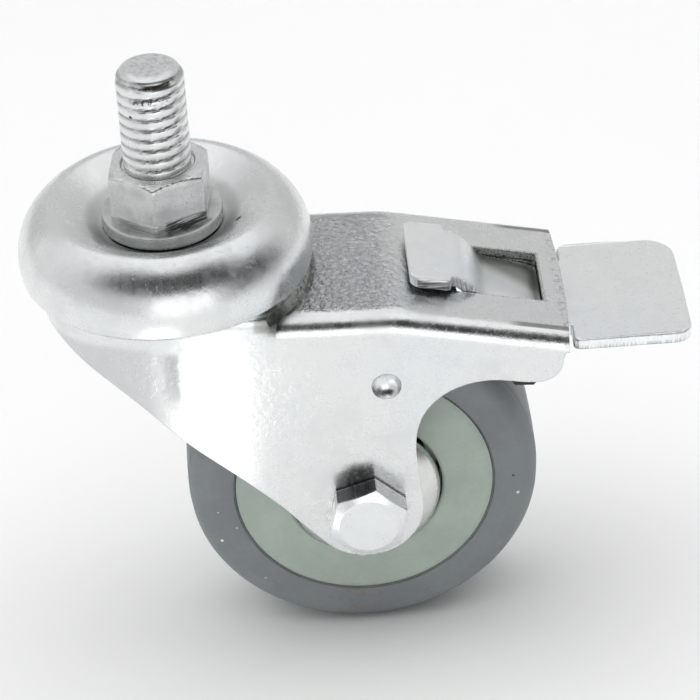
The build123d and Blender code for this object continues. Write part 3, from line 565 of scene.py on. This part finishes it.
def stem_story(m, col, rgh, nrm):
    x, y, z = m.xyz()
    r = m.axis_radius("Z")
    turned = m.math("SINE", m.mul(r, 2 * math.pi / 0.00030))
    on_top = m.mul(m.ramp(z, -0.0003, -0.0001), m.ramp(z, 0.0001, 0.0003, 1.0, 0.0))
    nrm = m.bump(m.mul(m.add(turned, m.noise(700.0, 2.0, 0.6)), m.add(0.25, m.mul(on_top, 0.75))), 0.000016, 0.8, nrm)
    # the thread grooves are painted darker, unevenly
    threaded = m.mul(m.ramp(z, 0.0002, 0.0006), m.ramp(z, 0.0143, 0.0146, 1.0, 0.0))
    groove = m.mul(m.ramp(r, 0.00446, 0.00458, 1.0, 0.0), threaded)
    dirt = m.ramp(m.noise(420.0, 3.0, 0.6), 0.36, 0.60, 0.10, 0.55)
    col = m.mix(m.mul(groove, dirt), col, (0.22, 0.215, 0.20, 1))
    # the body of the hexagon and the collar are duller than the thread
    body = m.mul(m.ramp(r, 0.0058, 0.0062), m.ramp(z, -0.0003, -0.0001, 1.0, 0.0))
    col = m.mix(m.mul(body, m.ramp(m.noise(260.0, 3.0, 0.6), 0.3, 0.7, 0.35, 0.75)), col, (0.50, 0.505, 0.51, 1))
    # painted shade on the collar wall where it sits down in the cup
    wall = m.ramp(z, -0.0078, -0.0075, 1.0, 0.0)
    col = m.mix(m.mul(wall, 0.62), col, (0.26, 0.27, 0.26, 1))
    shelf = m.mul(m.ramp(r, 0.0066, 0.0070), m.mul(m.ramp(z, -0.00760, -0.00752), m.ramp(z, -0.0073, -0.00725, 1.0, 0.0)))
    rgh = m.add(rgh, m.mul(shelf, 0.18))
    # painted reflection of the cup's dish on the front of the collar, and painted shade for the black gap under the
    # collar
    dish_reflection = m.mul(m.mul(m.ramp(m.axis_radius("Z"), 0.00833 - 0.00012, 0.00833 - 0.00004), m.ramp(z, -0.0068, -0.0070, 0.0, 1.0)), m.ramp(y, -0.0040, 0.0010, 1.0, 0.0))
    col = m.mix(m.mul(dish_reflection, 0.55), col, (0.42, 0.44, 0.43, 1))
    gap_shade = m.mul(m.ramp(z, -0.00918, -0.00900, 1.0, 0.0), m.ramp(m.noise(210.0, 2.0), 0.38, 0.56))
    col = m.mix(m.mul(gap_shade, 0.85), col, (0.03, 0.03, 0.03, 1))
    # heavy grease in the first turns at the front
    front = m.mul(m.ramp(y, -0.0034, -0.0022, 1.0, 0.0), m.mul(m.ramp(x, -0.0032, -0.0020), m.ramp(x, 0.0016, 0.0026, 1.0, 0.0)))
    g1 = m.mul(m.mul(m.ramp(z, 0.01125, 0.0115), m.ramp(z, 0.0120, 0.0123, 1.0, 0.0)), front)
    g2 = m.mul(m.mul(m.ramp(z, 0.01345, 0.0136), m.ramp(z, 0.0141, 0.0143, 1.0, 0.0)), m.mul(m.ramp(y, -0.0034, -0.0028, 1.0, 0.0), m.mul(m.ramp(x, -0.0016, -0.0004), m.ramp(x, 0.0024, 0.0032, 1.0, 0.0))))
    g = m.math("MAXIMUM", m.mul(g1, m.ramp(m.noise(1900.0, 2.0, 0.6), 0.46, 0.60)), m.mul(g2, m.ramp(m.noise(1900.0, 2.0, 0.6), 0.28, 0.42)))
    col = m.mix(m.mul(g, 0.92), col, (0.030, 0.028, 0.024, 1))
    col = m.mix(m.blob((-0.00290, -0.00362, 0.00930), 0.00030, 0.4), col, SOOT_AND_SHADE)
    # spanner and forging lines along the foot of the hexagon
    foot = m.mul(m.ramp(z, -0.0061, -0.0056, 1.0, 0.0), m.ramp(z, -0.00745, -0.00735))
    right = m.mul(m.ramp(x, 0.0000, 0.0008), m.ramp(y, -0.0045, -0.0030, 1.0, 0.0))
    left = m.mul(m.ramp(x, -0.0008, 0.0000, 1.0, 0.0), m.ramp(y, -0.0045, -0.0030, 1.0, 0.0))
    lines = m.noise(1.0, 2.0, 0.55, vec=m.vec(m.mul(x, 260.0), m.mul(y, 260.0), m.mul(m.sub(z, m.mul(x, 0.10)), 3600.0)))
    k = m.mul(m.mul(foot, m.ramp(lines, 0.45, 0.56)), m.add(m.mul(right, 0.92), m.mul(left, 0.35)))
    col = m.mix(k, col, (0.075, 0.073, 0.068, 1))
    nrm = m.bump(m.mul(lines, m.mul(foot, right)), 0.00012, 0.8, nrm)
    # dull, mottled tip
    tip = m.ramp(z, 0.01485, 0.0149)
    col = m.mix(m.mul(m.mul(tip, m.ramp(m.noise(1700.0, 3.0, 0.7), 0.42, 0.66)), 0.5), col, (0.42, 0.43, 0.45, 1))
    rgh = m.add(rgh, m.mul(tip, 0.12))
    return col, rgh, nrm


def cup_story(m, col, rgh, nrm):
    r = m.axis_radius("Z")
    # painted shade: darker ring on the dish next to the collar, and a dark ring line where the collar meets the cup
    well_shade = m.mul(m.ramp(r, 0.0082, 0.0086), m.ramp(r, 0.0100, 0.0112, 1.0, 0.0))
    col = m.mix(m.mul(well_shade, 0.55), col, (0.44, 0.47, 0.45, 1))
    gap_shade = m.mul(m.mul(m.ramp(r, 0.0080, 0.0082), m.ramp(r, 0.00845, 0.00862, 1.0, 0.0)), m.ramp(m.noise(150.0, 2.0), 0.40, 0.58, 0.25, 1.0))
    col = m.mix(m.mul(gap_shade, 0.90), col, (0.02, 0.02, 0.02, 1))
    rgh = m.add(rgh, m.mul(well_shade, 0.10))
    col = m.mix(m.blob((0.01033, -0.0040, -0.0078), 0.00062, 0.4), col, SOOT_AND_SHADE)
    draw = m.noise(1.0, 2.0, 0.6, vec=m.vec(m.mul(r, 1500.0), 0.0, 0.0))
    nrm = m.bump(draw, 0.000005, 0.8, nrm)
    return col, rgh, nrm


def seam(m, r, centre, width, depth):
    """Uneven dark joint line round the axle."""
    wob = m.ramp(m.noise(330.0, 3.0, 0.6), 0.3, 0.75, 0.35, 1.5, smooth=False)
    d = m.math("ABSOLUTE", m.sub(r, centre))
    return m.math("LESS_THAN", d, m.mul(wob, width)), depth


def tyre_story(m, col, rgh, nrm):
    x, y, z = m.xyz()
    r = m.axis_radius("Y", WX * MM, WZ * MM)
    k, _ = seam(m, r, 0.01858, 0.00007, 0)
    col = m.mix(m.mul(k, 0.85), col, (0.030, 0.030, 0.024, 1))
    # moulded skin: fine circular flow lines; a painted highlight makes the moulded line at the shoulder paler
    flow = m.noise(1.0, 2.0, 0.6, vec=m.vec(m.mul(r, 1300.0), m.mul(y, 200.0), 0.0))
    col = m.mix(m.mul(m.ramp(flow, 0.45, 0.70), 0.10), col, (0.27, 0.285, 0.29, 1))
    ay = m.math("ABSOLUTE", y)
    ridge_highlight = m.mul(m.ramp(ay, 0.00635, 0.00650), m.ramp(ay, 0.00675, 0.00692, 1.0, 0.0))
    col = m.mix(m.mul(ridge_highlight, 0.45), col, (0.42, 0.42, 0.39, 1))
    tread = m.ramp(ay, 0.0060, 0.0065, 1.0, 0.0)
    col = m.mix(m.mul(tread, 0.35), col, (0.10, 0.105, 0.11, 1))
    # brown road dirt on the lower side, single pale and dark specks
    dirt = m.mul(m.blob((0.0230, -0.0091, -0.0715), 0.0085, 0.9), m.ramp(m.noise(900.0, 3.0, 0.65), 0.52, 0.68))
    col = m.mix(m.mul(dirt, 0.5), col, (0.20, 0.16, 0.11, 1))
    for p, rad, tone in (((0.0469, -0.0091, -0.0544), 0.00030, (0.75, 0.73, 0.68, 1)),
                         ((0.0463, -0.0091, -0.0402), 0.00024, (0.75, 0.74, 0.72, 1)),
                         ((0.0042, -0.0091, -0.0588), 0.00032, (0.78, 0.74, 0.64, 1)),
                         ((0.0463, -0.0091, -0.0513), 0.00026, (0.05, 0.05, 0.05, 1)),
                         ((0.0493, -0.0091, -0.0510), 0.00022, (0.62, 0.62, 0.58, 1)),
                         ((0.0020, -0.0091, -0.0461), 0.00016, (0.55, 0.55, 0.53, 1)),
                         ((0.0040, -0.0091, -0.0537), 0.00018, (0.55, 0.55, 0.53, 1)),
                         ((0.0065, -0.0091, -0.0567), 0.00018, (0.55, 0.54, 0.50, 1)),
                         ((0.0100, -0.0091, -0.0661), 0.00022, (0.42, 0.45, 0.38, 1))):
        col = m.mix(m.blob(p, rad, 0.4), col, tone)
    return col, rgh, nrm


def hub_story(m, col, rgh, nrm):
    r = m.axis_radius("Y", WX * MM, WZ * MM)
    k, _ = seam(m, r, 0.01852, 0.00009, 0)
    col = m.mix(m.mul(k, 0.9), col, (0.020, 0.020, 0.016, 1))
    flow = m.noise(1.0, 2.0, 0.6, vec=m.vec(m.mul(r, 900.0), 0.0, 0.0))
    col = m.mix(m.mul(m.ramp(flow, 0.45, 0.70), 0.07), col, (0.42, 0.46, 0.41, 1))
    return col, rgh, nrm


M = {}
M["fork"] = plated("fork_plate", rough=0.20, extra=fork_story)
M["cup"] = plated("cup_plate", rough=0.22, peel=0.8, extra=cup_story, edge=0.00015)
M["lever"] = plated("lever_plate", rough=0.26, base=(0.95, 0.965, 0.975), extra=lever_story, edge=0.00038)
M["stem"] = plated("stem_plate", rough=0.22, peel=0.5, extra=stem_story, edge=None)
M["cap"] = plated("cap_plate", rough=0.20, peel=0.6, base=(0.74, 0.745, 0.74), edge=0.00012)
M["bolt"] = plated("bolt_plate", rough=0.12, peel=0.7, base=(0.85, 0.86, 0.865), edge=0.00010, extra=bolt_story,
                   turned=rings("Y", 0.00025, 0.000003, WX * MM, WZ * MM, 0.5))
M["race"] = plated("race_steel", rough=0.26, peel=0.3, base=(0.56, 0.56, 0.56), edge=0.00012)
M["ball"] = plated("ball_steel", rough=0.08, peel=0.1, base=(0.72, 0.72, 0.73), scratch=0.2, grime=0.1, edge=None)
M["tyre"] = plastic("tyre_rubber", (0.215, 0.236, 0.242), rough=0.46, grain=1.0, spec=0.45, extra=tyre_story)
M["hub"] = plastic("hub_plastic", (0.410, 0.485, 0.425), rough=0.42, grain=0.8, spec=0.5, extra=hub_story)
M["cage"] = plastic("cage_plastic", (0.42, 0.40, 0.32), rough=0.45)
M["insert"] = plastic("insert_nylon", (0.03, 0.10, 0.42), rough=0.40)
M["shoe"] = plastic("shoe_plastic", (0.012, 0.012, 0.013), rough=0.45, dust=(0.25, 0.25, 0.24))

for piece, key, body, slot_name in ((stem_ob, "stem", "stem_body", "stem_steel"), (tyre_ob, "tyre", "wheel", "tyre_grey")):
    piece.data.materials.append(M[key].m)
    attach(piece, body)

PAINT = {"threaded_stem": "stem", "upper_cup": "cup", "upper_balls": "ball", "lower_balls": "ball",
         "lower_race": "race", "fork": "fork", "tyre": "tyre", "hub_core": "hub",
         "bearing_outer_ring": "race", "bearing_inner_ring": "race", "bearing_balls": "ball",
         "bearing_cage": "cage", "near_dust_cap": "cap", "far_dust_cap": "cap", "axle_sleeve": "race",
         "axle_bolt": "bolt", "axle_washer": "bolt", "axle_nut": "bolt", "nut_insert": "insert",
         "brake_lever": "lever", "brake_shoe": "shoe"}
for n, o in NODES.items():
    o.data.materials.clear()
    o.data.materials.append(M[PAINT[n]].m)


# ================================================================== stage and light
def stage_floor():
    """Pale floor that rolls up into a backdrop far behind; it ends a hand's length in front."""
    pts = [(-0.30, 0.0), (0.9, 0.0)]
    r = 0.45
    for i in range(1, 13):
        a = math.radians(90 * i / 12)
        pts.append((0.9 + r * math.sin(a), r - r * math.cos(a)))
    pts.append((0.9 + r, 1.8))
    verts, faces = [], []
    for y, z in pts:
        verts += [(-1.8, y, z + FLOOR_Z * MM), (1.8, y, z + FLOOR_Z * MM)]
    for i in range(len(pts) - 1):
        faces.append((2 * i, 2 * i + 1, 2 * i + 3, 2 * i + 2))
    me = bpy.data.meshes.new("stage_floor")
    me.from_pydata(verts, [], faces)
    for p in me.polygons:
        p.use_smooth = True
    ob = bpy.data.objects.new("stage_floor", me)
    bpy.context.scene.collection.objects.link(ob)
    m = Mat("stage_paper")
    col = m.mix(m.ramp(m.noise(9.0, 3.0), 0.3, 0.7), (0.90, 0.90, 0.90, 1), (0.885, 0.885, 0.885, 1))
    m.set("Base Color", col)
    m.set("Roughness", 0.75)
    m.set("Normal", m.bump(m.noise(900.0, 3.0), 0.00003, 0.3))
    me.materials.append(m.m)
    return ob


stage_floor()


def area(name, loc, target, size, power, color=(1, 1, 1), size_y=None, spread=math.pi):
    ld = bpy.data.lights.new(name, "AREA")
    ld.shape = "RECTANGLE"
    ld.size = size
    ld.size_y = size_y or size
    ld.energy = power
    ld.color = color
    ld.spread = spread
    ob = bpy.data.objects.new(name, ld)
    ob.location = loc
    d = Vector(target) - Vector(loc)
    ob.rotation_euler = d.to_track_quat("-Z", "Y").to_euler()
    bpy.context.scene.collection.objects.link(ob)
    return ob


def soft(name, *args, **kw):
    """A fill light that lights the floor and the wheel but is not mirrored in the metal."""
    ob = area(name, *args, **kw)
    ob.visible_glossy = False
    return ob


soft("top_softbox", (-0.02, -0.05, 0.75), (0.02, 0.0, -0.05), 1.3, 5.6, size_y=1.3)

# low softbox in front of the fork, below the picture, mirrored in the near leg
area("low_softbox", (-0.0110, -0.070, -0.0757), (-0.0110, -0.070, 0.5), 0.025, 0.0056, size_y=0.052)

world = bpy.data.worlds.new("studio")
bpy.context.scene.world = world
world.use_nodes = True
wt = world.node_tree
wt.nodes.clear()


def wnode(kind, **props):
    n = wt.nodes.new(kind)
    for k, v in props.items():
        setattr(n, k, v)
    return n


def wramp(value, pts):
    r = wnode("ShaderNodeValToRGB")
    wt.links.new(value, r.inputs[0])
    r.color_ramp.interpolation = "EASE"
    el = r.color_ramp.elements
    el[0].position, el[0].color = pts[0][0], (pts[0][1],) * 3 + (1,)
    el[1].position, el[1].color = pts[-1][0], (pts[-1][1],) * 3 + (1,)
    for p, v in pts[1:-1]:
        x = el.new(p)
        x.color = (v, v, v, 1)
    return r.outputs[0]


def wlobe(direction, inner, outer):
    """1 within inner degrees of the direction, 0 beyond outer degrees."""
    d = wnode("ShaderNodeVectorMath", operation="DOT_PRODUCT")
    wt.links.new(tc.outputs["Generated"], d.inputs[0])
    d.inputs[1].default_value = Vector(direction).normalized()
    m = wnode("ShaderNodeMapRange", interpolation_type="SMOOTHSTEP")
    wt.links.new(d.outputs["Value"], m.inputs["Value"])
    m.inputs["From Min"].default_value = math.cos(math.radians(outer))
    m.inputs["From Max"].default_value = math.cos(math.radians(inner))
    return m.outputs["Result"]


def wmath(op, a, b):
    n = wnode("ShaderNodeMath", operation=op)
    for i, v in enumerate((a, b)):
        if isinstance(v, bpy.types.NodeSocket):
            wt.links.new(v, n.inputs[i])
        else:
            n.inputs[i].default_value = v
    return n.outputs[0]


def wwin(v, a0, a1, b1, b0):
    """Soft window: 0 below a0, 1 between a1 and b1, 0 above b0."""
    out = None
    for lo, hi in ((a0, a1), (b0, b1)):
        m = wnode("ShaderNodeMapRange", interpolation_type="SMOOTHSTEP")
        wt.links.new(v, m.inputs["Value"])
        m.inputs["From Min"].default_value = lo
        m.inputs["From Max"].default_value = hi
        out = m.outputs["Result"] if out is None else wmath("MULTIPLY", out, m.outputs["Result"])
    return out


wo = wnode("ShaderNodeOutputWorld")
bg = wnode("ShaderNodeBackground")
tc = wnode("ShaderNodeTexCoord")
sep = wnode("ShaderNodeSeparateXYZ")
wt.links.new(tc.outputs["Generated"], sep.inputs[0])
el = wmath("MULTIPLY", wmath("ARCSINE", sep.outputs[2], 0.0), 57.29578)
# azimuth from the viewer's side, positive to the right, as the viewer faces the object
azi = wmath("MULTIPLY", wmath("ARCTAN2", sep.outputs[0], wmath("MULTIPLY", sep.outputs[1], -1.0)), 57.29578)
# room: dim near the horizon, bright softboxes overhead
sky = wramp(wmath("DIVIDE", wmath("ADD", el, 90.0), 180.0),
            [(0.0, 0.62), (0.50, 0.68), (0.61, 0.74), (0.72, 0.84), (0.82, 1.06), (0.92, 1.10), (1.0, 1.0)])


def darken(value, mask, amount):
    return wmath("MULTIPLY", value, wmath("SUBTRACT", 1.0, wmath("MULTIPLY", mask, amount)))


def paint(value, mask, level):
    keep = wmath("MULTIPLY", value, wmath("SUBTRACT", 1.0, mask))
    return wmath("ADD", keep, wmath("MULTIPLY", mask, level))


# brighter wall behind the object, mirrored in the flat tops
val = paint(sky, wmath("MULTIPLY", wwin(el, 12, 28, 44, 56), wwin(wmath("ABSOLUTE", azi, 0.0), 128, 160, 400, 500)), 1.06)
# pale wall on the left
val = paint(val, wmath("MULTIPLY", wwin(el, -45, -25, 28, 42), wmath("MULTIPLY", wwin(azi, -185, -172, -105, -78), 0.9)), 0.88)
# dark room behind the camera, above the front softbox
val = paint(val, wmath("MULTIPLY", wwin(el, 17, 30, 58, 72), wwin(azi, -84, -42, 50, 88)), 0.025)
# dark gap on the right beside the front softbox
val = paint(val, wmath("MULTIPLY", wwin(el, -6, 10, 30, 44), wwin(azi, 38, 54, 84, 112)), 0.07)
# front softbox, low, a little right of the camera
val = paint(val, wmath("MULTIPLY", wwin(el, -40, -30, 17, 28), wwin(azi, -22, -4, 24, 40)), 1.55)
wt.links.new(val, bg.inputs[0])
bg.inputs[1].default_value = 1.0
wt.links.new(bg.outputs[0], wo.inputs[0])

# ================================================================== camera
cam_data = bpy.data.cameras.new("camera")
cam_data.lens = 187.76
cam_data.sensor_width = 36.0
cam_data.clip_start = 0.01
cam_data.clip_end = 20.0
cam = bpy.data.objects.new("camera", cam_data)
right = Vector((0.9965, -0.0647, -0.0527)).normalized()
fwd = Vector((0.0234, 0.8229, -0.5677)).normalized()
up = right.cross(fwd).normalized()
rot = Matrix((right, up, -fwd)).transposed()
cam.matrix_world = Matrix.Translation((0.01242, -0.42504, 0.25948)) @ rot.to_4x4()
bpy.context.scene.collection.objects.link(cam)
bpy.context.scene.camera = cam

sc = bpy.context.scene
sc.view_settings.view_transform = "Standard"
sc.view_settings.look = "None"
sc.view_settings.exposure = 0.0
sc.view_settings.gamma = 1.0
